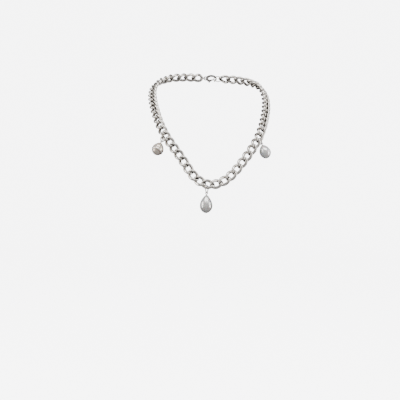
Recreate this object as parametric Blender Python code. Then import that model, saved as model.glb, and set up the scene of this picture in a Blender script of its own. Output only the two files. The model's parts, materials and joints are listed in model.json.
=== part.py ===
"""A silver curb-link necklace with three baroque pearl drops, in the drape it takes when it is worn.

Metres, +Z up, the wearer faces -Y and +X is on a viewer's right. The origin is the point at the
nape where the back of the neck carries the chain. Every link is twisted so that it lies flat, and
the links on the left and right hang from the nape in pairs, down to the one link at the front.
"""
import math

import bmesh
import bpy
import numpy as np
from mathutils import Matrix, Vector

MM = 0.001

# Chain: ovals of round wire, their two ends turned opposite ways so that neighbours cross almost squarely
WIRE = 2.2 * MM
PITCH = 8.9 * MM
PLAY = 0.5 * MM
LINK_WIDTH = 10.0 * MM
END_TURN = math.radians(46)
PAIRS = 21
NAPE_LINKS = 6
NAPE_BITE = 0.35 * MM
LINK_STEPS = 16
WIRE_SIDES = 6

# Worn drape, all the way round from the nape by the +X side: points of the chain's centre line and the
# way it faces. It sits a little askew, as a worn necklace does
DRAPE = (
    ((0.0, 2.1, 1.3), (0.0, 0.85, 0.52)),
    ((25.0, -2.0, 0.3), (0.25, 0.82, 0.52)),
    ((44.5, -16.0, -4.5), (0.60, 0.50, 0.60)),
    ((54.5, -36.5, -13.5), (0.70, -0.02, 0.70)),
    ((58.5, -64.0, -31.0), (0.58, -0.40, 0.70)),
    ((55.8, -91.5, -50.0), (0.48, -0.52, 0.70)),
    ((47.0, -119.5, -76.5), (0.42, -0.78, 0.46)),
    ((28.0, -133.0, -105.5), (0.22, -0.92, 0.32)),
    ((13.0, -138.0, -120.6), (0.08, -0.97, 0.24)),
    ((-2.5, -140.0, -124.3), (0.0, -0.97, 0.24)),
    ((-14.5, -138.0, -118.6), (-0.08, -0.97, 0.24)),
    ((-27.0, -133.0, -102.5), (-0.22, -0.92, 0.32)),
    ((-46.0, -120.5, -77.5), (-0.42, -0.78, 0.46)),
    ((-60.0, -92.0, -49.0), (-0.48, -0.52, 0.70)),
    ((-66.0, -62.0, -27.5), (-0.58, -0.40, 0.70)),
    ((-63.0, -33.0, -11.0), (-0.70, -0.02, 0.70)),
    ((-49.0, -13.5, -2.0), (-0.60, 0.50, 0.60)),
    ((-26.0, -2.0, 1.3), (-0.25, 0.82, 0.52)),
)
FRONT = 9
SPAN_STEPS = 200

# Pendants: a wire ring on a link, an eye pin through the ring, and a drilled pearl on the pin
RING_WIRE = 1.1 * MM
RING_CUT = 0.2 * MM
ARC_STEPS = 5
EYE_STEPS = 12
EYE_WIRE = 0.8 * MM
EYE_RADIUS = 1.3 * MM
PIN_REACH = 5.0 * MM
DRILL_RADIUS = 0.7 * MM
DRILL_RIM = 0.25 * MM
PEARL_TOP = 1.7 * MM
PEARL_SIDES = 18
PEARL_ROWS = 10
ROD_SIDES = 10
# name: link's pair (0 is the front link), side, place round the link, hanging direction, turn of the
# ring about it, ring's top and bottom radius and drop, pearl's width and height, where it is widest
PENDANTS = {
    "centre": dict(
        pair=0, side=1, around=-95, hangs=(0.0, -0.17, -0.985), turn=-35,
        ring=(2.7, 0.95, 4.2), pearl=(12.7, 18.6), widest=0.60,
    ),
    "left": dict(
        pair=8, side=-1, around=-80, hangs=(-0.36, -0.30, -0.88), turn=0,
        ring=(2.75, 1.6, 1.9), pearl=(12.2, 14.0), widest=0.56,
    ),
    "right": dict(
        pair=9, side=1, around=70, hangs=(0.36, -0.30, -0.88), turn=-30,
        ring=(2.75, 1.6, 1.9), pearl=(11.7, 15.0), widest=0.56,
    ),
}

# Clasp: a sprung claw between two jump rings
CLASP_RING_WIRE = 1.1 * MM
CLASP_RING_TURN = math.radians(18)
HOOK_PLAY = 1.2 * MM
TAIL_RING_RADIUS = 3.0 * MM
HOOK_RING_RADIUS = 4.4 * MM
CLAW_LENGTH = 14.0 * MM
CLAW_THICKNESS = 2.3 * MM
CLAW_BAR = 1.6 * MM
CLAW_CHAMFER = 0.5 * MM
CLAW_OUTER = (6.25 * MM, 4.3 * MM)
CLAW_INNER = (4.15 * MM, 2.5 * MM)
CLAW_TIP_ANGLE = 58
CLAW_ROOT_ANGLES = (-245, -240)
CLAW_STEPS = (22, 16)
TAIL_EYE_RADIUS = 2.0 * MM
TAIL_EYE_WIRE = 1.3 * MM
LEVER_THICKNESS = 1.0 * MM
LEVER_END = 0.5 * MM
SLOT_WIDTH = 1.5 * MM
SLOT_LEFT = -3.3 * MM
SLOT_RIGHT = 2.0 * MM
SLOT_FLOOR = 1.0 * MM
SLOT_TOP = 6.0 * MM
PIVOT_RADIUS = 0.4 * MM
PIVOT_HOLE = 0.65 * MM
PIVOT = (-1.3 * MM, 2.7 * MM)
LEVER_TIP = (4.2 * MM, 1.15 * MM)
LEAF = ((-2.9, 1.60), (-2.3, 1.38), (-1.7, 1.36))
LEAF_THICKNESS = 0.22 * MM
LEAF_WIDTH = 0.8 * MM

SILVER = (0.62, 0.60, 0.57)


def clear_scene():
    for thing in list(bpy.data.objects):
        bpy.data.objects.remove(thing)


def material(name, colour, roughness, metallic):
    made = bpy.data.materials.new(name)
    made.use_nodes = True
    shader = made.node_tree.nodes["Principled BSDF"]
    shader.inputs["Base Color"].default_value = (*colour, 1.0)
    shader.inputs["Roughness"].default_value = roughness
    shader.inputs["Metallic"].default_value = metallic
    return made


def place(name, mesh, frame, finish):
    """One sub-part: its mesh, where it stands and what it is made of."""
    thing = bpy.data.objects.new(name, mesh)
    bpy.context.scene.collection.objects.link(thing)
    thing.matrix_world = frame
    if not mesh.materials:
        mesh.materials.append(finish)
    return thing


def frame_at(origin, along, outward):
    """A frame with x along the chain and z out of the body, as square as the two directions allow."""
    x = Vector(along).normalized()
    z = Vector(outward)
    z = (z - z.dot(x) * x).normalized()
    y = z.cross(x)
    frame = Matrix((x, y, z)).transposed().to_4x4()
    frame.translation = Vector(origin)
    return frame


# ---------------------------------------------------------------- the drape

def closed_spline(knots, steps):
    """A smooth closed curve through the knots, with the same number of steps between each two."""
    count = len(knots)
    spans = np.linalg.norm(np.roll(knots[:, :3], -1, axis=0) - knots[:, :3], axis=1)
    system = np.zeros((count, count))
    right = np.zeros_like(knots)
    slopes = (np.roll(knots, -1, axis=0) - knots) / spans[:, None]
    for k in range(count):
        before = spans[k - 1]
        after = spans[k]
        system[k, k - 1] += before
        system[k, k] += 2 * (before + after)
        system[k, (k + 1) % count] += after
        right[k] = 6 * (slopes[k] - slopes[k - 1])
    bends = np.linalg.solve(system, right)
    curve = []
    for k in range(count):
        nxt = (k + 1) % count
        for s in np.arange(steps) / steps:
            u = spans[k] * s
            v = spans[k] - u
            curve.append(
                (bends[k] * v**3 + bends[nxt] * u**3) / (6 * spans[k])
                + (knots[k] / spans[k] - bends[k] * spans[k] / 6) * v
                + (knots[nxt] / spans[k] - bends[nxt] * spans[k] / 6) * u
            )
    return np.array(curve)


def half_drapes(scale):
    """The drape's two sides, each from the front up and on past the nape: rows of a point and the way it faces."""
    knots = np.array([(*point, *facing) for point, facing in DRAPE])
    knots[:, :3] *= MM * scale
    loop = closed_spline(knots, SPAN_STEPS)
    loop = np.roll(loop, -FRONT * SPAN_STEPS, axis=0)
    back = np.vstack((loop[:1], loop[:0:-1]))
    return {-1: loop, 1: back}


def walk(curve, first, step, count):
    """Points of the curve a step apart as the crow flies, after the first."""
    places = []
    here = first
    k = 0
    for _ in range(count):
        while np.linalg.norm(curve[k, :3] - here[:3]) < step:
            k += 1
        low, high = curve[k - 1], curve[k]
        near = np.linalg.norm(low[:3] - here[:3])
        far = np.linalg.norm(high[:3] - here[:3])
        here = low + (high - low) * (step - near) / (far - near)
        places.append(here)
    return places


def interlocks():
    """Where links hold each other on each side, from the front link to the clasp.

    The drape is scaled until the whole links and the clasp just close the loop."""
    low, high = 0.9, 1.1
    for _ in range(30):
        scale = (low + high) / 2
        curves = half_drapes(scale)
        first = walk(curves[-1], curves[-1][0], PITCH / 2, 1)[0]
        places = {
            -1: [first] + walk(curves[-1], first, PITCH, PAIRS + NAPE_LINKS),
            1: walk(curves[1], first, PITCH, PAIRS + NAPE_LINKS + 1),
        }
        if np.linalg.norm(places[1][-1][:3] - places[-1][-1][:3]) > clasp_span():
            high = scale
        else:
            low = scale
    return places


def clasp_span():
    """The distance between the last two interlocks, which the claw and its rings bridge."""
    hook = 2 * HOOK_RING_RADIUS - CLASP_RING_WIRE - WIRE / 2 - CLAW_BAR / 2 - PLAY - HOOK_PLAY
    return tail_reach() + CLAW_LENGTH + hook + WIRE + PLAY


def tail_reach():
    """The distance that the tail ring puts between the last link's end wire and the claw's eye wire."""
    return 2 * TAIL_RING_RADIUS - CLASP_RING_WIRE - WIRE / 2 - TAIL_EYE_WIRE / 2 - 2 * PLAY


def link_frame(places, pair, side):
    """A link's frame: its origin is the interlock nearer the nape, and x points to the next one."""
    if pair == 0:
        start = places[-1][0]
        end = places[1][0]
    else:
        start = places[side][pair]
        end = places[side][pair - 1]
    return frame_at(start[:3], end[:3] - start[:3], start[3:] + end[3:])


# ---------------------------------------------------------------- wire work

def tube(points, across, radius, sides, closed):
    """Round wire along points. The across vectors point out of the wire's side at each of them."""
    count = len(points)
    bm = bmesh.new()
    rings = []
    for k, point in enumerate(points):
        before = points[k - 1] if closed or k else point
        after = points[(k + 1) % count] if closed or k < count - 1 else point
        along = (after - before).normalized()
        out = (across[k] - across[k].dot(along) * along).normalized()
        over = along.cross(out)
        ring = []
        for j in range(sides):
            angle = 2 * math.pi * j / sides
            ring.append(bm.verts.new(point + radius * (math.cos(angle) * out + math.sin(angle) * over)))
        rings.append(ring)
    for k in range(count if closed else count - 1):
        here = rings[k]
        there = rings[(k + 1) % count]
        for j in range(sides):
            bm.faces.new((here[j], here[(j + 1) % sides], there[(j + 1) % sides], there[j]))
    if not closed:
        bm.faces.new(list(reversed(rings[0])))
        bm.faces.new(rings[-1])
    return finished(bm, "wire")


def finished(bm, name):
    mesh = bpy.data.meshes.new(name)
    bm.to_mesh(mesh)
    bm.free()
    mesh.shade_smooth()
    return mesh


def link_point(angle, length):
    """A point on the middle of a link's wire and the direction across the wire there."""
    turn = -END_TURN * math.cos(angle)
    half_width = (LINK_WIDTH - WIRE) / 2
    point = Vector((
        PITCH / 2 + length / 2 * math.cos(angle),
        half_width * math.sin(angle) * math.cos(turn),
        half_width * math.sin(angle) * math.sin(turn),
    ))
    across = Vector((0, -math.sin(turn), math.cos(turn)))
    return point, across


def link_mesh(length):
    """A twisted oval link. Its length is measured between the middles of the wire at its two ends."""
    angles = [2 * math.pi * k / LINK_STEPS for k in range(LINK_STEPS)]
    pairs = [link_point(angle, length) for angle in angles]
    return tube([p for p, _ in pairs], [a for _, a in pairs], WIRE / 2, WIRE_SIDES, True)


def combined(meshes, operation):
    """The first mesh joined with the others, or cut by them, as one closed body."""
    things = []
    for mesh in meshes:
        thing = bpy.data.objects.new("piece", mesh)
        bpy.context.scene.collection.objects.link(thing)
        things.append(thing)
    for other in things[1:]:
        boolean = things[0].modifiers.new(operation, "BOOLEAN")
        boolean.operation = operation
        boolean.object = other
    shaped = things[0].evaluated_get(bpy.context.evaluated_depsgraph_get())
    mesh = bpy.data.meshes.new_from_object(shaped)
    for thing in things:
        bpy.data.objects.remove(thing)
    mesh.shade_smooth()
    return mesh


def nape_chain(places, side):
    """The last links beside the clasp in one closed body, each biting a little into the next."""
    home = link_frame(places, PAIRS + 1, side)
    links = []
    for pair in range(PAIRS + 1, PAIRS + NAPE_LINKS + 1):
        outermost = pair in (PAIRS + 1, PAIRS + NAPE_LINKS)
        mesh = link_mesh(PITCH + WIRE + PLAY if outermost else PITCH + WIRE - PLAY - 2 * NAPE_BITE)
        mesh.transform(home.inverted() @ link_frame(places, pair, side))
        links.append(mesh)
    return combined(links, "UNION"), home


# ---------------------------------------------------------------- pendants

def arc(centre, radius, start, end, steps):
    """Points of an arc in the yz plane, both ends included."""
    points = []
    for k in range(steps + 1):
        angle = start + (end - start) * k / steps
        points.append(Vector((0, centre[0] + radius * math.cos(angle), centre[1] + radius * math.sin(angle))))
    return points


def drop_ring(top, bottom, drop):
    """A pear-shaped ring in the yz plane, its wide top about the origin and its narrow end below.

    It is bent from one wire, with a saw cut at the side of the wide end."""
    lean = math.asin((top - bottom) / drop)
    cut = RING_CUT / top
    points = arc((0, 0), top, math.pi / 2 + cut, math.pi + lean, ARC_STEPS)
    points += arc((0, -drop), bottom, math.pi + lean, 2 * math.pi - lean, ARC_STEPS)
    points += arc((0, 0), top, -lean, math.pi / 2 - cut, ARC_STEPS)
    return tube(points, [Vector((1, 0, 0))] * len(points), RING_WIRE / 2, WIRE_SIDES, False)


def eye_ring(radius, wire):
    """A closed round ring in the yz plane about the origin."""
    points = arc((0, 0), radius, 0, 2 * math.pi * (1 - 1 / EYE_STEPS), EYE_STEPS - 1)
    return tube(points, [Vector((1, 0, 0))] * EYE_STEPS, wire / 2, WIRE_SIDES, True)


def turned(profile, sides):
    """A solid turned about z from (radius, z) pairs that start and end on the axis."""
    bm = bmesh.new()
    start = bm.verts.new((0, 0, profile[0][1]))
    end = bm.verts.new((0, 0, profile[-1][1]))
    rings = []
    for radius, z in profile[1:-1]:
        ring = []
        for j in range(sides):
            angle = 2 * math.pi * j / sides
            ring.append(bm.verts.new((radius * math.cos(angle), radius * math.sin(angle), z)))
        rings.append(ring)
    for j in range(sides):
        nxt = (j + 1) % sides
        bm.faces.new((start, rings[0][j], rings[0][nxt]))
        bm.faces.new((end, rings[-1][nxt], rings[-1][j]))
        for here, there in zip(rings, rings[1:]):
            bm.faces.new((here[j], there[j], there[nxt], here[nxt]))
    return finished(bm, "turned")


def eye_pin():
    """A small eye about the origin, in the xz plane, with a post that goes down into the pearl."""
    eye = eye_ring(EYE_RADIUS, EYE_WIRE)
    eye.transform(Matrix.Rotation(math.pi / 2, 4, "Z"))
    top = -EYE_RADIUS
    bottom = -PEARL_TOP - PIN_REACH
    radius = EYE_WIRE / 2
    post = turned([(0, top), (radius, top), (radius, bottom), (0, bottom)], ROD_SIDES)
    return combined([eye, post], "UNION")


def pearl(width, height, widest):
    """A drop-shaped pearl under the origin, drilled from its narrow end for the pin."""
    power = math.log(0.5) / math.log(widest)
    surface = []
    for k in range(1, PEARL_ROWS):
        share = (1 - math.cos(math.pi * k / PEARL_ROWS)) / 2
        radius = width / 2 * math.sqrt(math.sin(math.pi * share**power))
        surface.append((radius, -PEARL_TOP - height * share))
    drilled = -PEARL_TOP - PIN_REACH - PLAY
    mouth = surface[0][1] + DRILL_RIM
    profile = [(0, drilled), (DRILL_RADIUS, drilled), (DRILL_RADIUS, mouth)] + surface
    profile.append((0, -PEARL_TOP - height))
    return turned(profile, PEARL_SIDES)


def pendant_frames(places, pendant):
    """The ring's frame, with its origin in the wire it hangs on, and the pearl's, in the ring's wire."""
    link = link_frame(places, pendant["pair"], pendant["side"])
    on_wire, _ = link_point(math.radians(pendant["around"]), PITCH + WIRE + PLAY)
    down = Vector(pendant["hangs"]).normalized()
    level = down.cross(Vector((0, 0, -1))).normalized()
    ring = frame_at(link @ on_wire, level, -down)
    ring = ring @ Matrix.Rotation(math.radians(pendant["turn"]), 4, "Z")
    _, bottom, drop = pendant["ring"]
    pearl_frame = ring @ Matrix.Translation((0, 0, -(drop + bottom) * MM))
    return ring, pearl_frame


def hang_pendants(places, finishes):
    for name, pendant in PENDANTS.items():
        ring_frame, pearl_frame = pendant_frames(places, pendant)
        width, height = (size * MM for size in pendant["pearl"])
        ring = drop_ring(*(size * MM for size in pendant["ring"]))
        place(f"{name}_pendant_ring", ring, ring_frame, finishes["ring"])
        place(f"{name}_eye_pin", eye_pin(), pearl_frame, finishes["ring"])
        drop = pearl(width, height, pendant["widest"])
        place(f"{name}_pearl", drop, pearl_frame, finishes[f"{name} pearl"])


# ---------------------------------------------------------------- clasp

def prism(outline, thickness, chamfer=0.0):
    """A flat plate about z = 0 from an outline that runs anticlockwise, its rims chamfered if asked."""
    bm = bmesh.new()
    low = [bm.verts.new((x, y, -thickness / 2)) for x, y in outline]
    high = [bm.verts.new((x, y, thickness / 2)) for x, y in outline]
    bm.faces.new(high)
    bm.faces.new(list(reversed(low)))
    count = len(outline)
    for k in range(count):
        nxt = (k + 1) % count
        bm.faces.new((low[k], low[nxt], high[nxt], high[k]))
    if chamfer:
        flat = [face for face in bm.faces if len(face.verts) == count]
        rims = list({edge for face in flat for edge in face.edges})
        bmesh.ops.bevel(bm, geom=rims, offset=chamfer, segments=1, affect="EDGES")
    return finished(bm, "plate")


def rod(centre, radius, length):
    """A round bar along z about a point of the xy plane."""
    ends = [(0, length / 2), (radius, length / 2), (radius, -length / 2), (0, -length / 2)]
    bar = turned(ends, ROD_SIDES)
    bar.transform(Matrix.Translation((*centre, 0)))
    return bar


def ellipse_arc(centre, radii, start, end, steps):
    """Points of an ellipse about a centre on the x axis, both ends of the arc included."""
    points = []
    for k in range(steps + 1):
        angle = math.radians(start + (end - start) * k / steps)
        points.append((centre + radii[0] * math.cos(angle), radii[1] * math.sin(angle)))
    return points


def claw_body():
    """The C-shaped claw with its tail eye, the slot for the lever's root and the pivot's hole."""
    right_face = CLAW_LENGTH / 2 + CLAW_BAR / 2
    outer_centre = right_face - CLAW_OUTER[0]
    inner_centre = right_face - CLAW_BAR - CLAW_INNER[0]
    hook = ellipse_arc(outer_centre, CLAW_OUTER, CLAW_ROOT_ANGLES[0], CLAW_TIP_ANGLE, CLAW_STEPS[0])
    mouth = ellipse_arc(inner_centre, CLAW_INNER, CLAW_TIP_ANGLE, CLAW_ROOT_ANGLES[1], CLAW_STEPS[1])
    plate = prism(hook + mouth, CLAW_THICKNESS, CLAW_CHAMFER)
    eye = eye_ring(TAIL_EYE_RADIUS, TAIL_EYE_WIRE)
    tail = Matrix.Translation((TAIL_EYE_RADIUS - CLAW_LENGTH / 2, 0, 0))
    eye.transform(tail @ Matrix.Rotation(math.pi / 2, 4, "Y"))
    floor = [(SLOT_LEFT, SLOT_FLOOR), (SLOT_RIGHT, SLOT_FLOOR)]
    slot = prism(floor + [(SLOT_RIGHT, SLOT_TOP), (SLOT_LEFT, SLOT_TOP)], SLOT_WIDTH)
    body = combined([plate, eye], "UNION")
    return combined([body, slot, rod(PIVOT, PIVOT_HOLE, 2 * CLAW_THICKNESS)], "DIFFERENCE")


def claw_lever():
    """The sprung gate: a tapering bar from the pivot to the hook's tip, with a thumb tab."""
    px, py = PIVOT
    tx, ty = LEVER_TIP
    outline = [
        (px - 1.1 * MM, py - 0.3 * MM),
        (px - 0.5 * MM, py - 1.1 * MM),
        (px + 0.9 * MM, py - 1.2 * MM),
        (tx - 0.1 * MM, ty - LEVER_END),
        (tx + 0.1 * MM, ty + 0.1 * MM),
        (tx - 0.2 * MM, ty + LEVER_END),
        (px + 2.6 * MM, py + 0.6 * MM),
        (px + 1.6 * MM, py + 1.2 * MM),
        (px + 1.1 * MM, py + 2.6 * MM),
        (px + 0.3 * MM, py + 2.7 * MM),
        (px - 0.1 * MM, py + 1.3 * MM),
        (px - 0.9 * MM, py + 0.8 * MM),
    ]
    bar = prism(outline, LEVER_THICKNESS)
    return combined([bar, rod(PIVOT, PIVOT_HOLE, 2 * LEVER_THICKNESS)], "DIFFERENCE")


def claw_spring():
    """A bent leaf under the lever's root."""
    outline = [(x * MM, y * MM - LEAF_THICKNESS / 2) for x, y in LEAF]
    outline += [(x * MM, y * MM + LEAF_THICKNESS / 2) for x, y in reversed(LEAF)]
    return prism(outline, LEAF_WIDTH)


def chain_end(places, side):
    """The middle of the last link's end wire, and that link's frame."""
    link = link_frame(places, PAIRS + NAPE_LINKS, side)
    wire_point, _ = link_point(math.pi, PITCH + WIRE + PLAY)
    return link @ wire_point, link


def across_nape(places):
    """The direction of the clasp, from the chain's end on the -X side to the other."""
    return (chain_end(places, 1)[0] - chain_end(places, -1)[0]).normalized()


def clasp_ring(places, side, radius):
    """A jump ring through the last nape link, and its frame."""
    centre, link = chain_end(places, side)
    inward = across_nape(places) * -side
    end_wire = link.to_3x3() @ Vector((0, math.cos(CLASP_RING_TURN), math.sin(CLASP_RING_TURN)))
    end_wire -= end_wire.dot(inward) * inward
    centre += inward * (radius - CLASP_RING_WIRE / 2 - WIRE / 2 - PLAY)
    frame = frame_at(centre, end_wire, inward)
    cut = RING_CUT / radius
    points = arc((0, 0), radius, cut, 2 * math.pi - cut, 3 * ARC_STEPS)
    mesh = tube(points, [Vector((1, 0, 0))] * len(points), CLASP_RING_WIRE / 2, WIRE_SIDES, False)
    return mesh, frame


def claw_frame(places):
    """The claw lies flat on the nape, in line with the chain's ends and tail first from -X."""
    along = across_nape(places)
    origin = chain_end(places, -1)[0] + along * (tail_reach() + CLAW_LENGTH / 2)
    return frame_at(origin, along, places[-1][-1][3:] + places[1][-1][3:])


def make_clasp(places, finishes):
    for name, side, radius in (
        ("clasp_tail_ring", -1, TAIL_RING_RADIUS),
        ("clasp_hook_ring", 1, HOOK_RING_RADIUS),
    ):
        mesh, frame = clasp_ring(places, side, radius)
        place(name, mesh, frame, finishes["ring"])
    frame = claw_frame(places)
    place("clasp_claw", claw_body(), frame, finishes["clasp"])
    place("clasp_lever", claw_lever(), frame, finishes["clasp"])
    place("clasp_rivet", rod(PIVOT, PIVOT_RADIUS, CLAW_THICKNESS), frame, finishes["clasp"])
    place("clasp_spring", claw_spring(), frame, finishes["spring"])


# ---------------------------------------------------------------- the whole necklace

def make_chain(places, finish):
    shared = link_mesh(PITCH + WIRE + PLAY)
    place("front_link", shared, link_frame(places, 0, 1), finish)
    for side, word in ((-1, "left"), (1, "right")):
        for pair in range(1, PAIRS + 1):
            place(f"{word}_link_{pair:02d}", shared, link_frame(places, pair, side), finish)
        mesh, frame = nape_chain(places, side)
        place(f"{word}_nape_chain", mesh, frame, finish)


def main():
    clear_scene()
    finishes = {
        "chain": material("chain_silver", SILVER, 0.28, 1.0),
        "ring": material("ring_silver", SILVER, 0.22, 1.0),
        "clasp": material("clasp_silver", SILVER, 0.30, 1.0),
        "spring": material("spring_steel", (0.45, 0.45, 0.46), 0.35, 1.0),
        "centre pearl": material("silver_white_pearl", (0.80, 0.78, 0.75), 0.25, 0.0),
        "left pearl": material("champagne_pearl", (0.66, 0.58, 0.48), 0.30, 0.0),
        "right pearl": material("cool_grey_pearl", (0.72, 0.71, 0.70), 0.32, 0.0),
    }
    places = interlocks()
    make_chain(places, finishes["chain"])
    hang_pendants(places, finishes)
    make_clasp(places, finishes)


main()
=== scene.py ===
"""Looks of a silver curb-link necklace with three baroque pearl drops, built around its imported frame.

Metres, +Z up, the wearer faces -Y and +X is on a viewer's right.
"""

import json
import math

import bmesh
import bpy
import numpy as np
from mathutils import Matrix, Vector, noise


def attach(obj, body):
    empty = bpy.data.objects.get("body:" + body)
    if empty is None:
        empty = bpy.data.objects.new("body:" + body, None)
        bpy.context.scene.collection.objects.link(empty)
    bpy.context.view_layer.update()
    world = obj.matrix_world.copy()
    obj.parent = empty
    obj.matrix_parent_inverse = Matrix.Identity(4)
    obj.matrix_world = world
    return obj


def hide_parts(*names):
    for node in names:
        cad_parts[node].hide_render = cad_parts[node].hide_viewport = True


MM = 0.001

# Chain
WIRE = 2.6 * MM
WIRE_SWELL = 0.16
PITCH = 8.9 * MM
LINK_LENGTH = 11.6 * MM
LINK_WIDTH = 7.3 * MM
END_TURN = math.radians(46)
LINK_STEPS = 72
WIRE_SIDES = 20
PAIRS = 21
NAPE_LINKS = 6
SEAM_ANGLE = 0.62
SEAM_WIDTH = 0.035
SEAM_DEPTH = 0.02

# Pendants: turn of the ring about its hanging direction in degrees, the ring's top and bottom radius and
# the pearl's width and height in mm, the share of its height where it is widest, and the seed of its lumps
RING_WIRE = 1.1 * MM
RING_CUT = 0.2 * MM
EYE_WIRE = 0.8 * MM
EYE_RADIUS = 1.3 * MM
PIN_REACH = 4.6 * MM
PIN_DEEP = 0.25
PEARL_TOP = 1.7 * MM
DRILL_RADIUS = 0.62 * MM
DRILL_DEPTH = 2.0 * MM
PENDANTS = {
    "centre": dict(
        turn=-35, ring=(2.7, 0.95), pearl=(12.7, 18.6), widest=0.60, seed=3, slot="silver_white_pearl",
    ),
    "left": dict(
        turn=0, ring=(2.75, 1.6), pearl=(12.2, 14.0), widest=0.56, seed=11, slot="champagne_pearl",
    ),
    "right": dict(
        turn=-30, ring=(2.75, 1.6), pearl=(11.7, 15.0), widest=0.56, seed=23, slot="cool_grey_pearl",
    ),
}
PEARL_ROWS = 84
PEARL_SIDES = 112
RING_POINTS = 90
PIN_POINTS = 96
PIN_SIDES = 14

# Clasp
CLASP_WIRE = 1.1 * MM
CLASP_RING_STEPS = 95
CLAW_LENGTH = 14.0 * MM
CLAW_THICKNESS = 2.3 * MM
CLAW_BAR = 1.6 * MM
CLAW_OUTER = (6.25 * MM, 4.3 * MM)
CLAW_INNER = (4.15 * MM, 2.5 * MM)
CLAW_TIP_ANGLE = 58
CLAW_ROOT_ANGLES = (-245, -240)
TAIL_EYE_RADIUS = 2.0 * MM
TAIL_EYE_WIRE = 1.3 * MM
TAIL_EYE_STEPS = 48
PIVOT = (-1.3 * MM, 2.7 * MM)
PIVOT_HOLE = 0.65 * MM
RIVET_RADIUS = 0.4 * MM
LEVER_THICKNESS = 1.0 * MM
LEVER_SLOT_LOW = (-3.3 * MM, 1.0 * MM)
LEVER_SLOT_HIGH = (2.0 * MM, 6 * MM)
LEVER_SLOT_WIDTH = 1.5 * MM
SHARP = math.radians(40)
LEVER_TIP = (4.2 * MM, 1.15 * MM)
SPRING_LINE = ((-2.9 * MM, 1.60 * MM), (-2.3 * MM, 1.38 * MM), (-1.7 * MM, 1.36 * MM))
SPRING_THICKNESS = 0.2 * MM
SPRING_WIDTH = 0.8 * MM

# Camera and room
CAMERA = (-0.0097, -1.084, -0.1385)
CAMERA_ROLL = 2.0
LENS = 85.0
FLOOR = -0.32
ROOM_LOW = 0.42
ROOM_HIGH = 0.66
ROOM_BEHIND = 0.10
PAPER_GLOW = 7.0
LIT_POINT = (0, -0.06, -0.08)
TOP_LIGHT = 9.0
SIDE_LIGHT = 7.0
FLOOR_FRONT = -3.0
FLOOR_BACK = 2.6
FLOOR_BEND = 0.5
WALL_TOP = 2.4
FLOOR_HALF_WIDTH = 4.0


# ---------------------------------------------------------------- meshes

def piece(name, verts, faces, matrix, body, replaced, finish, attributes=None):
    """A smooth piece on a CAD body, in the place of CAD nodes."""
    mesh = bpy.data.meshes.new(name)
    mesh.from_pydata([tuple(v) for v in verts], [], [tuple(f) for f in faces])
    mesh.validate()
    mesh.shade_smooth()
    thing = bpy.data.objects.new(name, mesh)
    bpy.context.scene.collection.objects.link(thing)
    thing.matrix_world = matrix
    dress(thing, matrix, attributes or {})
    mesh.materials.append(finish)
    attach(thing, body)
    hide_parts(*replaced)
    return thing


def dress(thing, matrix, attributes):
    """Stores the rest place of each point, in millimetres, and the other per-point values of its finish."""
    mesh = thing.data
    count = len(mesh.vertices)
    flat = np.empty(count * 3)
    mesh.vertices.foreach_get("co", flat)
    local = flat.reshape(-1, 3)
    turn = np.array(matrix)
    world = local @ turn[:3, :3].T + turn[:3, 3]
    grain = mesh.attributes.new("grain", "FLOAT_VECTOR", "POINT")
    grain.data.foreach_set("vector", (world / MM).ravel())
    for name, values in attributes.items():
        kind = "FLOAT_VECTOR" if np.ndim(values) == 2 else "FLOAT"
        made = mesh.attributes.new(name, kind, "POINT")
        made.data.foreach_set("vector" if kind == "FLOAT_VECTOR" else "value", np.ravel(values))


def sweep(points, across, radii, sides, closed):
    """Round wire along points: its vertices, its faces and each vertex's direction out of the wire.

    The across vectors point out of the wire's side, and an open wire gets domed ends."""
    points = np.array(points, float)
    across = np.array(across, float)
    radii = np.array(radii, float) * np.ones(len(points))
    if closed:
        along = np.roll(points, -1, axis=0) - np.roll(points, 1, axis=0)
    else:
        along = np.gradient(points, axis=0)
    along /= np.linalg.norm(along, axis=1)[:, None]
    if not closed:
        dome = np.radians((80, 50, 25))
        reach = radii[0] * np.sin(dome)[:, None]
        points = np.vstack((points[:1] - reach * along[:1], points, (points[-1:] + reach * along[-1:])[::-1]))
        radii = np.concatenate((radii[0] * np.cos(dome), radii, radii[0] * np.cos(dome)[::-1]))
        across = np.vstack((across[:1].repeat(3, 0), across, across[-1:].repeat(3, 0)))
        along = np.vstack((along[:1].repeat(3, 0), along, along[-1:].repeat(3, 0)))
    out = across - np.sum(across * along, axis=1)[:, None] * along
    out /= np.linalg.norm(out, axis=1)[:, None]
    over = np.cross(along, out)
    angles = 2 * math.pi * np.arange(sides) / sides
    rays = np.cos(angles)[None, :, None] * out[:, None] + np.sin(angles)[None, :, None] * over[:, None]
    verts = (points[:, None] + radii[:, None, None] * rays).reshape(-1, 3)
    count = len(points)
    faces = []
    for k in range(count if closed else count - 1):
        here = k * sides
        there = (k + 1) % count * sides
        for j in range(sides):
            nxt = (j + 1) % sides
            faces.append((here + j, here + nxt, there + nxt, there + j))
    if not closed:
        faces.append(tuple(range(sides))[::-1])
        faces.append(tuple(range((count - 1) * sides, count * sides)))
    return verts, faces, rays.reshape(-1, 3)


def smoothstep(low, high, values):
    """A soft rise from 0 at low to 1 at high."""
    share = np.clip((values - low) / (high - low), 0, 1)
    return share * share * (3 - 2 * share)


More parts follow.
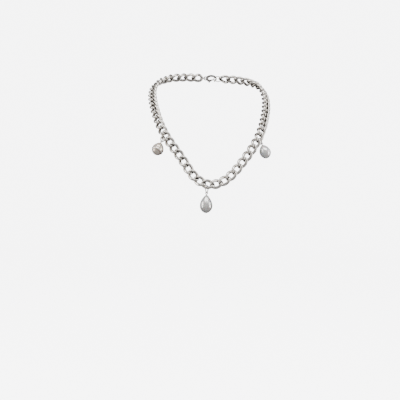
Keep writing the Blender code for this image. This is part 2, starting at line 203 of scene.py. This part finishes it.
def link_wire():
    """A twisted oval link about its own middle, with how far into the chain each point of it lies, which sets
    its tarnish and painted shade.
    """
    angles = 2 * math.pi * np.arange(LINK_STEPS) / LINK_STEPS
    turn = -END_TURN * np.cos(angles)
    middle = np.stack((
        LINK_LENGTH / 2 * np.cos(angles),
        LINK_WIDTH / 2 * np.sin(angles) * np.cos(turn),
        LINK_WIDTH / 2 * np.sin(angles) * np.sin(turn),
    ), axis=1)
    across = np.stack((0 * angles, -np.sin(turn), np.cos(turn)), axis=1)
    seam = np.exp(-((angles - SEAM_ANGLE) / SEAM_WIDTH) ** 2)
    swell = WIRE_SWELL * smoothstep(0.15, 0.75, np.abs(np.sin(angles)))
    radii = WIRE / 2 * (1 + swell - SEAM_DEPTH * seam)
    verts, faces, rays = sweep(middle, across, radii, WIRE_SIDES, True)
    outward = verts / np.linalg.norm(verts, axis=1)[:, None]
    facing_in = -np.sum(outward * rays, axis=1)
    near_end = np.abs(np.cos(angles)).repeat(WIRE_SIDES)
    # Tarnish and painted shade: the wire's inner side, and its ends where the next links hook through, are
    # darkened.
    inside = 0.8 * smoothstep(-0.35, 0.9, facing_in)
    hooked = 0.5 * smoothstep(0.45, 1.0, near_end) * smoothstep(-0.8, 0.2, facing_in)
    return verts, faces, {"tarnish_shade_mask": np.clip(inside + hooked, 0, 1)}


def node_points(node):
    """The distinct corners of a CAD node."""
    points = np.array([v.co for v in frame["nodes"][node].data.vertices])
    return np.unique(np.round(points, 6), axis=0)


def square_frame(centre, x, z):
    """A right-handed frame at a point from an x axis and a rough z axis."""
    x = Vector(x).normalized()
    z = Vector(z)
    z = (z - z.dot(x) * x).normalized()
    made = Matrix((x, z.cross(x), z)).transposed().to_4x4()
    made.translation = Vector(centre)
    return made


def link_place(node):
    """A link's middle, with x along its length and z through its thickness."""
    points = node_points(node)
    centre = points.mean(0)
    _, _, axes = np.linalg.svd(points - centre, full_matrices=False)
    return square_frame(centre, axes[0], axes[2])


def ring_place(node):
    """A round ring's middle and radius, with x along its axis."""
    points = node_points(node)
    mean = points.mean(0)
    _, _, axes = np.linalg.svd(points - mean, full_matrices=False)
    flat = (points - mean) @ axes[:2].T
    terms = np.column_stack((2 * flat, np.ones(len(flat))))
    found = np.linalg.lstsq(terms, (flat ** 2).sum(1), rcond=None)[0]
    centre = mean + found[:2] @ axes[:2]
    radius = np.linalg.norm((points - centre) @ axes[:2].T, axis=1).mean()
    return square_frame(centre, axes[2], axes[0]), radius


def joint(name):
    """A joint's place and direction."""
    found = [j for j in frame["joints"] if j["name"] == name][0]
    return Vector(found["pos_m"]), Vector(found["axis"]).normalized()


# ---------------------------------------------------------------- materials

class Nodes:
    """Adds nodes to a material and links them."""

    def __init__(self, name):
        self.material = bpy.data.materials.new(name)
        self.material.use_nodes = True
        self.tree = self.material.node_tree
        self.shader = self.tree.nodes["Principled BSDF"]

    def add(self, kind, settings=None, **inputs):
        node = self.tree.nodes.new(kind)
        for key, value in (settings or {}).items():
            setattr(node, key, value)
        for key, value in inputs.items():
            self.feed(node.inputs[key.replace("_", " ")], value)
        return node

    def feed(self, socket, value):
        if isinstance(value, bpy.types.NodeSocket):
            self.tree.links.new(value, socket)
        elif isinstance(value, tuple) and len(value) == 3 and socket.type == "RGBA":
            socket.default_value = (*value, 1)
        else:
            socket.default_value = value

    def stored(self, name, output="Fac"):
        return self.add("ShaderNodeAttribute", {"attribute_name": name}).outputs[output]

    def speckle(self, vector, scale, detail=3.0, roughness=0.5):
        made = self.add("ShaderNodeTexNoise", Vector=vector, Scale=scale, Detail=detail, Roughness=roughness)
        return made.outputs["Fac"]

    def stretched(self, vector, factors):
        made = self.add("ShaderNodeVectorMath", {"operation": "MULTIPLY"})
        self.feed(made.inputs[0], vector)
        made.inputs[1].default_value = factors
        return made.outputs[0]

    def remap(self, value, low, high, to_low, to_high):
        made = self.add("ShaderNodeMapRange", Value=value)
        made.inputs["From Min"].default_value = low
        made.inputs["From Max"].default_value = high
        made.inputs["To Min"].default_value = to_low
        made.inputs["To Max"].default_value = to_high
        return made.outputs["Result"]

    def maths(self, operation, first, second):
        """Arithmetic on two values. A sum stays between 0 and 1."""
        made = self.add("ShaderNodeMath", {"operation": operation, "use_clamp": operation == "ADD"})
        self.feed(made.inputs[0], first)
        self.feed(made.inputs[1], second)
        return made.outputs[0]

    def mix(self, share, first, second, blend="MIX"):
        made = self.add("ShaderNodeMix", {"data_type": "RGBA", "blend_type": blend})
        self.feed(made.inputs["Factor"], share)
        self.feed(made.inputs[6], first)
        self.feed(made.inputs[7], second)
        return made.outputs[2]

    def bump(self, height, strength, distance, normal=None):
        made = self.add("ShaderNodeBump", Height=height, Strength=strength, Distance=distance)
        if normal:
            self.feed(made.inputs["Normal"], normal)
        return made.outputs["Normal"]

    def give(self, **inputs):
        for key, value in inputs.items():
            self.feed(self.shader.inputs[key.replace("_", " ")], value)


def silver(name, bright, dark, roughness, tarnish_shade_strength):
    """Polished silver: bright crowns, dark tarnish and painted shade in the chain's recesses, fine scratches
    and a faint haze.
    """
    n = Nodes(name)
    grain = n.stored("grain", "Vector")
    tarnish_shade_mask = n.stored("tarnish_shade_mask")
    cloud = n.speckle(grain, 0.35, 4.0, 0.6)
    fine = n.speckle(grain, 2.6, 3.0, 0.6)
    scratch = n.speckle(n.stretched(grain, (9.0, 1.2, 3.0)), 1.0, 2.0, 0.7)
    # Darkening towards the dark colour: real tarnish together with painted shade in the chain's recesses,
    # plus an even cloudy tone.
    tarnish_and_painted_shade = n.maths("ADD", n.maths("MULTIPLY", tarnish_shade_mask, tarnish_shade_strength), n.remap(cloud, 0.45, 0.75, 0.0, 0.18))
    tone = n.mix(tarnish_and_painted_shade, bright, dark)
    warm = n.mix(n.remap(fine, 0.5, 0.8, 0.0, 0.5), tone, (0.70, 0.64, 0.56), "MULTIPLY")
    haze = n.remap(cloud, 0.3, 0.7, roughness - 0.05, roughness + 0.08)
    rough = n.maths("ADD", haze, n.maths("MULTIPLY", tarnish_shade_mask, 0.16))
    normal = n.bump(scratch, 0.12, 0.02 * MM, n.bump(fine, 0.10, 0.04 * MM))
    n.give(Base_Color=warm, Metallic=1.0, Roughness=rough, Normal=normal)
    return n.material


def nacre(name, light, shade, stain_and_hollow_shade, roughness, streaks, blotches):
    """Baroque nacre: soft streaks from the drilled end, cloudy blotches lower down, painted shade in its
    hollows, a painted highlight along its ridge and a satin lustre.
    """
    n = Nodes(name)
    grain = n.stored("grain", "Vector")
    turn = n.stored("turnwise", "Vector")
    down = n.stored("down")
    streak = n.speckle(n.stretched(turn, (5.0, 5.0, 0.9)), 1.0, 4.0, 0.55)
    cloud = n.speckle(grain, 0.28, 4.0, 0.55)
    fleck = n.speckle(grain, 1.1, 3.0, 0.6)
    near_top = n.remap(down, 0.1, 0.75, streaks, streaks * 0.25)
    upper = n.maths("MULTIPLY", n.remap(streak, 0.42, 0.66, 0.0, 1.0), near_top)
    near_base = n.remap(down, 0.45, 0.85, 0.0, blotches)
    lower = n.maths("MULTIPLY", n.remap(fleck, 0.46, 0.68, 0.0, 1.0), near_base)
    colour = n.mix(n.remap(cloud, 0.35, 0.7, 0.0, 0.35), light, shade)
    colour = n.mix(upper, colour, shade)
    colour = n.mix(lower, colour, stain_and_hollow_shade)
    # Painted shade in the flutes, the hollow under the ridge and the drill hole, and a painted highlight
    # along the raised ridge.
    hollow_shade_ridge_highlight = n.stored("hollow_shade_ridge_highlight")
    colour = n.mix(n.remap(hollow_shade_ridge_highlight, 0.0, 1.0, 0.0, 0.8), colour, stain_and_hollow_shade)
    colour = n.mix(n.remap(hollow_shade_ridge_highlight, 0.0, -1.0, 0.0, 0.85), colour, (0.97, 0.93, 0.88))
    rough = n.remap(cloud, 0.3, 0.7, roughness - 0.05, roughness + 0.09)
    normal = n.bump(streak, 0.35, 0.16 * MM, n.bump(cloud, 0.4, 0.45 * MM))
    n.give(Base_Color=colour, Metallic=0.6, Roughness=rough, Normal=normal)
    n.give(Coat_Weight=0.8, Coat_Roughness=0.08)
    n.give(Subsurface_Weight=0.12, Subsurface_Scale=1.5 * MM)
    return n.material


def steel(name):
    """Spring steel with fine drawing lines."""
    n = Nodes(name)
    grain = n.stored("grain", "Vector")
    drawn = n.speckle(n.stretched(grain, (2.0, 14.0, 2.0)), 1.0, 3.0, 0.6)
    colour = n.mix(n.remap(drawn, 0.3, 0.7, 0.0, 1.0), (0.46, 0.46, 0.48), (0.34, 0.34, 0.36))
    rough = n.remap(drawn, 0.3, 0.7, 0.26, 0.42)
    n.give(Base_Color=colour, Metallic=1.0, Roughness=rough, Normal=n.bump(drawn, 0.15, 0.02 * MM))
    return n.material


# ---------------------------------------------------------------- chain

def hang_chain(finish):
    """The front link, the single links of both sides and the links behind the neck."""
    verts, faces, values = link_wire()
    piece("front_link_silver", verts, faces, link_place("front_link"), "front", ["front_link"],
          finish, values)
    for word in ("left", "right"):
        for pair in range(1, PAIRS + 1):
            node = f"{word}_link_{pair:02d}"
            piece(f"{node}_silver", verts, faces, link_place(node), f"links_{pair:02d}", [node],
                  finish, values)
        hang_nape_links(word, finish)


def hang_nape_links(word, finish):
    """Six separate links in the place of a nape chain, evenly spaced along its curve."""
    verts, faces, values = link_wire()
    cloud = node_points(f"{word}_nape_chain")
    last = link_place(f"{word}_link_{PAIRS:02d}")
    before = link_place(f"{word}_link_{PAIRS - 1:02d}")
    along = (last.translation - before.translation).normalized()
    centre = last.translation
    for k in range(NAPE_LINKS):
        centre, along, thick = next_nape_link(cloud, centre, along)
        name = f"{word}_nape_link_{k + 1}_silver"
        piece(name, verts, faces, square_frame(centre, along, thick), "nape", [f"{word}_nape_chain"],
              finish, values)


def next_nape_link(cloud, centre, along):
    """The next link of a nape chain, one pitch on: its middle, its direction and its thin direction."""
    step = along
    guess = np.array(centre + along * PITCH)
    for _ in range(6):
        near = cloud[np.abs((cloud - guess) @ np.array(step)) < PITCH / 2]
        near = near[np.linalg.norm(near - guess, axis=1) < PITCH]
        guess = near.mean(0)
        step = Vector(guess) - centre
        step.normalize()
        guess = np.array(centre + step * PITCH)
    _, _, axes = np.linalg.svd(near - near.mean(0), full_matrices=False)
    turned_on = (2 * step - along).normalized()
    return Vector(guess), turned_on, Vector(axes[2])


# ---------------------------------------------------------------- pendants

def arc(centre, radius, start, end, steps):
    """Points of an arc in the yz plane, both ends included."""
    angles = np.linspace(start, end, steps + 1)
    across = centre[0] + radius * np.cos(angles)
    up = centre[1] + radius * np.sin(angles)
    return np.stack((0 * angles, across, up), axis=1)


def drop_ring(top, bottom, drop):
    """A pear-shaped wire ring in the yz plane, bent from one wire with a saw cut at its side."""
    lean = math.asin((top - bottom) / drop)
    cut = RING_CUT / top
    points = np.vstack((
        arc((0, 0), top, math.pi / 2 + cut, math.pi + lean, 22),
        arc((0, -drop), bottom, math.pi + lean, 2 * math.pi - lean, 20),
        arc((0, 0), top, -lean, math.pi / 2 - cut, 22),
    ))
    out = np.tile((1.0, 0, 0), (RING_POINTS, 1))
    return sweep(evened(points, RING_POINTS), out, RING_WIRE / 2, WIRE_SIDES, False)


def evened(points, count):
    """The same line with its points at even steps."""
    steps = np.linalg.norm(np.diff(points, axis=0), axis=1)
    run = np.concatenate(([0], np.cumsum(steps)))
    at = np.linspace(0, run[-1], count)
    return np.stack([np.interp(at, run, points[:, k]) for k in range(3)], axis=1)


def eye_pin_wire():
    """A wire that goes up out of the pearl, round in a small eye and close back to its own shank."""
    foot = -PEARL_TOP - PIN_REACH
    gap = EYE_WIRE * 0.62
    start = math.asin(gap / EYE_RADIUS)
    shank = np.array([(0.0, 0, z) for z in np.linspace(foot, -EYE_RADIUS - 0.4 * MM, 14)])
    turns = np.linspace(-math.pi / 2 + 0.15, 1.5 * math.pi - start * 1.4, 48)
    eye = np.stack((EYE_RADIUS * np.cos(turns), 0 * turns, EYE_RADIUS * np.sin(turns)), axis=1)
    points = evened(np.vstack((shank, eye)), PIN_POINTS)
    return sweep(points, np.tile((0, 1.0, 0), (PIN_POINTS, 1)), EYE_WIRE / 2, PIN_SIDES, False)


def pearl_surface(width, height, widest, seed, shape):
    """A drop-shaped baroque pearl under the origin, drilled from its narrow end."""
    rows, sides = PEARL_ROWS, PEARL_SIDES
    power = math.log(0.5) / math.log(widest)
    first = 0.004
    shares = first + (1 - first) * (1 - np.cos(np.linspace(0.06, math.pi, rows))) / 2
    theta = 2 * math.pi * np.arange(sides) / sides
    verts, down, turnwise, hollow_shade_ridge_highlight = [], [], [], []

    def add(x, y, z, share, angle, cut):
        verts.append((x, y, z))
        down.append(share)
        turnwise.append((math.cos(angle), math.sin(angle), share))
        hollow_shade_ridge_highlight.append(cut)

    # The walls of the drill hole carry painted shade.
    hole = [(DRILL_RADIUS, -PEARL_TOP - DRILL_DEPTH), (DRILL_RADIUS, -PEARL_TOP - 0.28 * MM)]
    for radius, z in hole:
        for angle in theta:
            add(radius * math.cos(angle), radius * math.sin(angle), z, 0.0, angle, 0.6)
    for share in shares[:-1]:
        base = width / 2 * math.sqrt(max(0.0, math.sin(math.pi * share ** power)))
        z = -PEARL_TOP - height * share
        for angle in theta:
            # Each shape gives its bump and its painted shade (above zero) or painted highlight (below zero).
            lump, cut = shape(share, angle, seed)
            radius = max(base * (1 + lump), DRILL_RADIUS * 1.04)
            add(radius * math.cos(angle), radius * math.sin(angle), z, share, angle, cut)
    add(0, 0, -PEARL_TOP - height, 1.0, 0.0, 0.0)
    count = rows - 1 + len(hole)
    faces = []
    for k in range(count - 1):
        for j in range(sides):
            nxt = (j + 1) % sides
            faces.append((k * sides + j, (k + 1) * sides + j, (k + 1) * sides + nxt, k * sides + nxt))
    for j in range(sides):
        faces.append(((count - 1) * sides + j, count * sides, (count - 1) * sides + (j + 1) % sides))
    faces.append(tuple(range(sides)))
    values = {"down": np.array(down), "turnwise": np.array(turnwise), "hollow_shade_ridge_highlight": np.array(hollow_shade_ridge_highlight)}
    return verts, faces, values


def lumps(share, angle, seed, size):
    """Soft, broad unevenness that fades out towards both ends."""
    spot = Vector((math.cos(angle) * 0.9, math.sin(angle) * 0.9, share * 2.4 + seed))
    fade = math.sin(math.pi * min(1.0, share * 1.05)) ** 0.7 if share < 0.95 else 0.3
    return size * noise.noise(spot) * fade


def fluted(share, angle, seed):
    """Shallow flutes that run down from the drilled end."""
    warp = 1.3 * noise.noise(Vector((math.cos(angle), math.sin(angle), seed + share)))
    wave = math.sin(9 * angle + warp) * 0.6 + math.sin(17 * angle - 2 * warp) * 0.4
    fade = max(0.0, 1 - share / 0.72)
    # The flute hollows carry painted shade.
    return lumps(share, angle, seed, 0.05) + 0.012 * wave * fade, max(0.0, -wave) * fade * 0.35


def ridged(share, angle, seed):
    """A raised growth ridge that winds round the lower third, with a hollow under it; the ridge carries a
    painted highlight and the hollow painted shade.
    """
    line = 0.66 + 0.07 * math.sin(angle + 0.4) + 0.02 * math.sin(3 * angle)
    ridge = math.exp(-((share - line) / 0.045) ** 2)
    under = math.exp(-((share - line - 0.085) / 0.035) ** 2)
    above = math.exp(-((share - line + 0.10) / 0.05) ** 2)
    # Painted shade in the hollow under the ridge and a painted highlight on the ridge.
    return lumps(share, angle, seed, 0.07) + 0.034 * ridge - 0.026 * under - 0.016 * above, under - ridge


def dimpled(share, angle, seed):
    """A smooth drop with one flattened side and a faint ring near the narrow end."""
    flat = max(0.0, math.cos(angle - 2.1)) ** 3 * math.sin(math.pi * share)
    waist = math.exp(-((share - 0.20) / 0.05) ** 2)
    # The faint ring carries painted shade.
    return lumps(share, angle, seed, 0.07) - 0.035 * flat - 0.012 * waist, 0.3 * waist


def hang_pendants(ring_finish, pearl_finishes):
    """Each pendant's ring, and the pin and pearl that swing on it."""
    shapes = {"centre": fluted, "left": ridged, "right": dimpled}
    for name, pendant in PENDANTS.items():
        ring_origin, lift = joint(f"{name}_ring_lift")
        pearl_origin, _ = joint(f"{name}_pearl_swing")
        down = pearl_origin - ring_origin
        turn = Matrix.Rotation(math.radians(pendant["turn"]), 4, "Z")
        turned = square_frame(ring_origin, -lift, -down) @ turn
        top, bottom = (radius * MM for radius in pendant["ring"])
        verts, faces, rays = drop_ring(top, bottom, down.length - bottom)
        # Tarnish and painted shade on the ring's inner side.
        values = {"tarnish_shade_mask": smoothstep(0.2, 1.0, -rays[:, 1] * np.sign(verts[:, 1])) * 0.7}
        piece(f"{name}_ring_wire", verts, faces, turned, f"{name}_ring", [f"{name}_pendant_ring"],
              ring_finish, values)
        place = turned.copy()
        place.translation = pearl_origin
        verts, faces, _ = eye_pin_wire()
        piece(f"{name}_pin_wire", verts, faces, place, f"{name}_drop", [f"{name}_eye_pin"],
              ring_finish, {"tarnish_shade_mask": np.full(len(verts), PIN_DEEP)})
        width, height = (size * MM for size in pendant["pearl"])
        verts, faces, values = pearl_surface(width, height, pendant["widest"], pendant["seed"], shapes[name])
        piece(f"{name}_pearl_nacre", verts, faces, place, f"{name}_drop", [f"{name}_pearl"],
              pearl_finishes[name], values)


# ---------------------------------------------------------------- clasp

def ellipse_arc(centre, radii, start, end, steps):
    """Points of an ellipse about a point of the x axis, from one angle to another in degrees."""
    angles = np.radians(np.linspace(start, end, steps + 1))
    return list(zip(centre + radii[0] * np.cos(angles), radii[1] * np.sin(angles)))


def plate(outline, thickness, rim, segments=4):
    """A flat plate about z = 0 with rounded rims."""
    bm = bmesh.new()
    low = [bm.verts.new((x, y, -thickness / 2)) for x, y in outline]
    high = [bm.verts.new((x, y, thickness / 2)) for x, y in outline]
    bm.faces.new(high)
    bm.faces.new(list(reversed(low)))
    count = len(outline)
    for k in range(count):
        nxt = (k + 1) % count
        bm.faces.new((low[k], low[nxt], high[nxt], high[k]))
    if rim:
        flat = [face for face in bm.faces if len(face.verts) == count]
        rims = list({edge for face in flat for edge in face.edges})
        bmesh.ops.bevel(bm, geom=rims, offset=rim, segments=segments, profile=0.5, affect="EDGES")
    mesh = bpy.data.meshes.new("plate")
    bm.to_mesh(mesh)
    bm.free()
    return mesh


def solid(verts, faces, matrix):
    """A mesh from lists, put in its place."""
    mesh = bpy.data.meshes.new("solid")
    mesh.from_pydata([tuple(v) for v in verts], [], [tuple(f) for f in faces])
    mesh.transform(matrix)
    return mesh


def rod(centre, radius, length, sides=32):
    """A round bar along z about a point of the xy plane."""
    bm = bmesh.new()
    bmesh.ops.create_cone(bm, cap_ends=True, segments=sides, radius1=radius, radius2=radius, depth=length)
    mesh = bpy.data.meshes.new("rod")
    bm.to_mesh(mesh)
    bm.free()
    mesh.transform(Matrix.Translation((*centre, 0)))
    return mesh


def combined(meshes, operation):
    """The first mesh joined with the others, or cut by them."""
    things = []
    for mesh in meshes:
        thing = bpy.data.objects.new("shape", mesh)
        bpy.context.scene.collection.objects.link(thing)
        things.append(thing)
    for other in things[1:]:
        boolean = things[0].modifiers.new(operation, "BOOLEAN")
        boolean.operation = operation
        boolean.object = other
    shaped = things[0].evaluated_get(bpy.context.evaluated_depsgraph_get())
    mesh = bpy.data.meshes.new_from_object(shaped)
    for thing in things:
        bpy.data.objects.remove(thing)
    return mesh


def lists(mesh):
    """A mesh's vertices and faces."""
    verts = [v.co.copy() for v in mesh.vertices]
    faces = [tuple(p.vertices) for p in mesh.polygons]
    return verts, faces


def clasp_piece(name, mesh, place, body, node, finish, tarnish_shade_mask):
    """A piece of the clasp, with one depth of patina and its hard edges kept."""
    verts, faces = lists(mesh)
    thing = piece(name, verts, faces, place, body, [node], finish, {"tarnish_shade_mask": np.full(len(verts), tarnish_shade_mask)})
    thing.data.set_sharp_from_angle(angle=SHARP)


def claw_body():
    """The hook with its tail eye, its slot for the lever and its rivet hole."""
    right_face = CLAW_LENGTH / 2 + CLAW_BAR / 2
    outer_centre = right_face - CLAW_OUTER[0]
    inner_centre = right_face - CLAW_BAR - CLAW_INNER[0]
    hook = ellipse_arc(outer_centre, CLAW_OUTER, CLAW_ROOT_ANGLES[0], CLAW_TIP_ANGLE, 72)
    mouth = ellipse_arc(inner_centre, CLAW_INNER, CLAW_TIP_ANGLE, CLAW_ROOT_ANGLES[1], 56)
    body = plate(hook + mouth, CLAW_THICKNESS, 0.5 * MM)
    last = TAIL_EYE_STEPS - 1
    points = arc((0, 0), TAIL_EYE_RADIUS, 0, 2 * math.pi * last / TAIL_EYE_STEPS, last)
    out = np.tile((1.0, 0, 0), (TAIL_EYE_STEPS, 1))
    verts, faces, _ = sweep(points, out, TAIL_EYE_WIRE / 2, WIRE_SIDES, True)
    middle = Matrix.Translation((TAIL_EYE_RADIUS - CLAW_LENGTH / 2, 0, 0))
    eye = solid(verts, faces, middle @ Matrix.Rotation(math.pi / 2, 4, "Y"))
    joined = combined([body, eye], "UNION")
    left, low = LEVER_SLOT_LOW
    right, high = LEVER_SLOT_HIGH
    slot = plate([(left, low), (right, low), (right, high), (left, high)], LEVER_SLOT_WIDTH, 0)
    return combined([joined, slot, rod(PIVOT, PIVOT_HOLE, 2 * CLAW_THICKNESS)], "DIFFERENCE")


def lever_body():
    """The thumb lever: a heel round the pivot, an arm to the hook's tip and a thumb tab."""
    px, py = PIVOT
    tx, ty = LEVER_TIP
    outline = [
        (px - 1.1 * MM, py - 0.3 * MM), (px - 0.5 * MM, py - 1.1 * MM), (px + 0.9 * MM, py - 1.2 * MM),
        (tx - 0.1 * MM, ty - 0.5 * MM), (tx + 0.1 * MM, ty + 0.1 * MM), (tx - 0.2 * MM, ty + 0.5 * MM),
        (px + 2.6 * MM, py + 0.6 * MM), (px + 1.6 * MM, py + 1.2 * MM), (px + 1.1 * MM, py + 2.6 * MM),
        (px + 0.3 * MM, py + 2.7 * MM), (px - 0.1 * MM, py + 1.3 * MM), (px - 0.9 * MM, py + 0.8 * MM),
    ]
    body = plate(outline, LEVER_THICKNESS, 0.16 * MM, 3)
    return combined([body, rod(PIVOT, PIVOT_HOLE, 2 * LEVER_THICKNESS)], "DIFFERENCE")


def spring_leaf():
    """A thin bent leaf that lies in the claw under the lever's heel."""
    half = SPRING_THICKNESS / 2
    upper = [(x, y + half) for x, y in SPRING_LINE]
    lower = [(x, y - half) for x, y in reversed(SPRING_LINE)]
    return plate(lower[::-1] + upper[::-1], SPRING_WIDTH, 0)


def build_clasp(ring_finish, clasp_finish, spring_finish):
    """The claw with its lever, rivet and spring, and the two rings at the ends of the chain."""
    origin, along = joint("claw_roll")
    _, pin = joint("lever_press")
    place = square_frame(origin, along, -pin)
    rivet = rod(PIVOT, RIVET_RADIUS, CLAW_THICKNESS)
    for name, mesh, body, node, slot, finish, tarnish_shade_mask in (
        ("clasp_claw_cast", claw_body(), "claw", "clasp_claw", "clasp_silver", clasp_finish, 0.1),
        ("clasp_lever_cast", lever_body(), "lever", "clasp_lever", "clasp_silver", clasp_finish, 0.15),
        ("clasp_rivet_pin", rivet, "claw", "clasp_rivet", "clasp_silver", clasp_finish, 0.2),
        ("clasp_spring_leaf", spring_leaf(), "claw", "clasp_spring", "spring_steel", spring_finish, 0),
    ):
        clasp_piece(name, mesh, place, body, node, finish, tarnish_shade_mask)
    for node in ("clasp_tail_ring", "clasp_hook_ring"):
        clasp_ring(node, ring_finish)


def clasp_ring(node, finish):
    """A round jump ring with a saw cut in it."""
    place, radius = ring_place(node)
    cut = RING_CUT / radius
    points = arc((0, 0), radius, cut, 2 * math.pi - cut, CLASP_RING_STEPS)
    out = np.tile((1.0, 0, 0), (CLASP_RING_STEPS + 1, 1))
    verts, faces, rays = sweep(points, out, CLASP_WIRE / 2, WIRE_SIDES, False)
    # Tarnish and painted shade on the ring's inner side.
    inner = -np.sum(rays * verts, axis=1) / np.linalg.norm(verts, axis=1)
    tarnish_shade_mask = smoothstep(0, 1, inner) * 0.6
    piece(f"{node}_wire", verts, faces, place, "nape", [node], finish, {"tarnish_shade_mask": tarnish_shade_mask})


# ---------------------------------------------------------------- studio

def softbox(name, place, size, power, colour=(1, 1, 1)):
    """A rectangular light turned to the necklace."""
    light = bpy.data.lights.new(name, "AREA")
    light.shape = "RECTANGLE"
    light.size, light.size_y = size
    light.energy = power
    light.color = colour
    lamp = bpy.data.objects.new(name, light)
    bpy.context.scene.collection.objects.link(lamp)
    lamp.location = place
    lamp.rotation_euler = (Vector(LIT_POINT) - Vector(place)).to_track_quat("-Z", "Y").to_euler()


def ramp(tree, value, start, end, low, high):
    """A straight change of level in the world's nodes."""
    made = tree.nodes.new("ShaderNodeMapRange")
    for key, number in (("From Min", start), ("From Max", end), ("To Min", low), ("To Max", high)):
        made.inputs[key].default_value = number
    tree.links.new(value, made.inputs["Value"])
    return made.outputs["Result"]


def room():
    """A white room that is lighter above and dark behind the necklace."""
    world = bpy.data.worlds.new("studio")
    bpy.context.scene.world = world
    world.use_nodes = True
    tree = world.node_tree
    back = tree.nodes["Background"]
    way = tree.nodes.new("ShaderNodeTexCoord")
    split = tree.nodes.new("ShaderNodeSeparateXYZ")
    tree.links.new(way.outputs["Generated"], split.inputs[0])
    rise = ramp(tree, split.outputs["Z"], -0.6, 0.9, ROOM_LOW, ROOM_HIGH)
    behind = ramp(tree, split.outputs["Y"], -0.2, 0.7, 1.0, ROOM_BEHIND)
    level = tree.nodes.new("ShaderNodeMath")
    level.operation = "MULTIPLY"
    tree.links.new(rise, level.inputs[0])
    tree.links.new(behind, level.inputs[1])
    tree.links.new(level.outputs[0], back.inputs["Strength"])
    back.inputs["Color"].default_value = (1.0, 1.0, 1.0, 1.0)


def paper_finish():
    """Pale paper, lit by its own glow so that it stays white behind the chain."""
    paper = Nodes("pale_paper")
    where = paper.add("ShaderNodeTexCoord").outputs["Object"]
    tone = paper.speckle(where, 1.5, 2.0, 0.5)
    pale = paper.mix(tone, (0.90, 0.90, 0.91), (0.87, 0.87, 0.88))
    paper.give(Base_Color=pale, Roughness=0.7, Emission_Color=pale, Emission_Strength=PAPER_GLOW)
    return paper.material


def paper_floor():
    """A floor that bends up into a wall."""
    line = [(FLOOR_FRONT, FLOOR)]
    for k in range(13):
        angle = math.pi / 2 * k / 12
        y = FLOOR_BACK - FLOOR_BEND + FLOOR_BEND * math.sin(angle)
        line.append((y, FLOOR + FLOOR_BEND - FLOOR_BEND * math.cos(angle)))
    line.append((FLOOR_BACK, WALL_TOP))
    verts = [(x, y, z) for y, z in line for x in (-FLOOR_HALF_WIDTH, FLOOR_HALF_WIDTH)]
    faces = [(2 * k, 2 * k + 1, 2 * k + 3, 2 * k + 2) for k in range(len(line) - 1)]
    mesh = bpy.data.meshes.new("floor")
    mesh.from_pydata(verts, [], faces)
    mesh.shade_smooth()
    mesh.materials.append(paper_finish())
    floor = bpy.data.objects.new("floor", mesh)
    bpy.context.scene.collection.objects.link(floor)
    floor.visible_glossy = False
    floor.visible_diffuse = False


def set_camera():
    lens = bpy.data.cameras.new("camera")
    lens.lens = LENS
    lens.sensor_width = 36.0
    camera = bpy.data.objects.new("camera", lens)
    bpy.context.scene.collection.objects.link(camera)
    level = Matrix.Rotation(math.pi / 2, 4, "X")
    roll = Matrix.Rotation(math.radians(CAMERA_ROLL), 4, "Z")
    camera.matrix_world = Matrix.Translation(CAMERA) @ level @ roll
    bpy.context.scene.camera = camera


def studio():
    room()
    softbox("top light", (0.0, -0.45, 0.85), (0.9, 0.5), TOP_LIGHT)
    softbox("left light", (-0.95, -0.35, 0.05), (0.35, 1.0), SIDE_LIGHT, (1.0, 0.985, 0.96))
    softbox("right light", (0.95, -0.35, 0.05), (0.35, 1.0), SIDE_LIGHT, (1.0, 0.99, 0.97))
    paper_floor()
    set_camera()


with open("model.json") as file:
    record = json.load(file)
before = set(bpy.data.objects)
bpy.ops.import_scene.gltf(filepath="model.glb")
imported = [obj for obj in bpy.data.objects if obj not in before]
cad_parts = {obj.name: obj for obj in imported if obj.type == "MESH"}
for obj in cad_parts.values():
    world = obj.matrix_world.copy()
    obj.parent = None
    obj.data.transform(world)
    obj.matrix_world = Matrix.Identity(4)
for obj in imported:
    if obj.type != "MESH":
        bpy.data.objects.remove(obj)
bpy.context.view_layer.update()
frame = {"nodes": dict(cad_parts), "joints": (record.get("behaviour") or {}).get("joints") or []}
chain_silver = silver("chain_silver_finish", (0.78, 0.74, 0.685), (0.035, 0.03, 0.027), 0.22, 0.95)
ring_silver = silver("ring_silver_finish", (0.70, 0.665, 0.62), (0.13, 0.115, 0.10), 0.20, 0.7)
clasp_silver = silver("clasp_silver_finish", (0.66, 0.63, 0.59), (0.15, 0.13, 0.12), 0.24, 0.7)
pearls = {
    "centre": nacre(
        "silver_white_nacre", light=(1.0, 0.985, 0.97), shade=(0.36, 0.345, 0.33), stain_and_hollow_shade=(0.24, 0.20, 0.17),
        roughness=0.22, streaks=0.9, blotches=0.8,
    ),
    "left": nacre(
        "champagne_nacre", light=(0.92, 0.82, 0.71), shade=(0.48, 0.37, 0.28), stain_and_hollow_shade=(0.26, 0.18, 0.12),
        roughness=0.22, streaks=0.45, blotches=0.4,
    ),
    "right": nacre(
        "cool_grey_nacre", light=(1.0, 0.99, 0.98), shade=(0.54, 0.53, 0.53), stain_and_hollow_shade=(0.36, 0.34, 0.33),
        roughness=0.28, streaks=0.4, blotches=0.4,
    ),
}
hang_chain(chain_silver)
hang_pendants(ring_silver, pearls)
build_clasp(ring_silver, clasp_silver, steel("spring_steel_finish"))
studio()
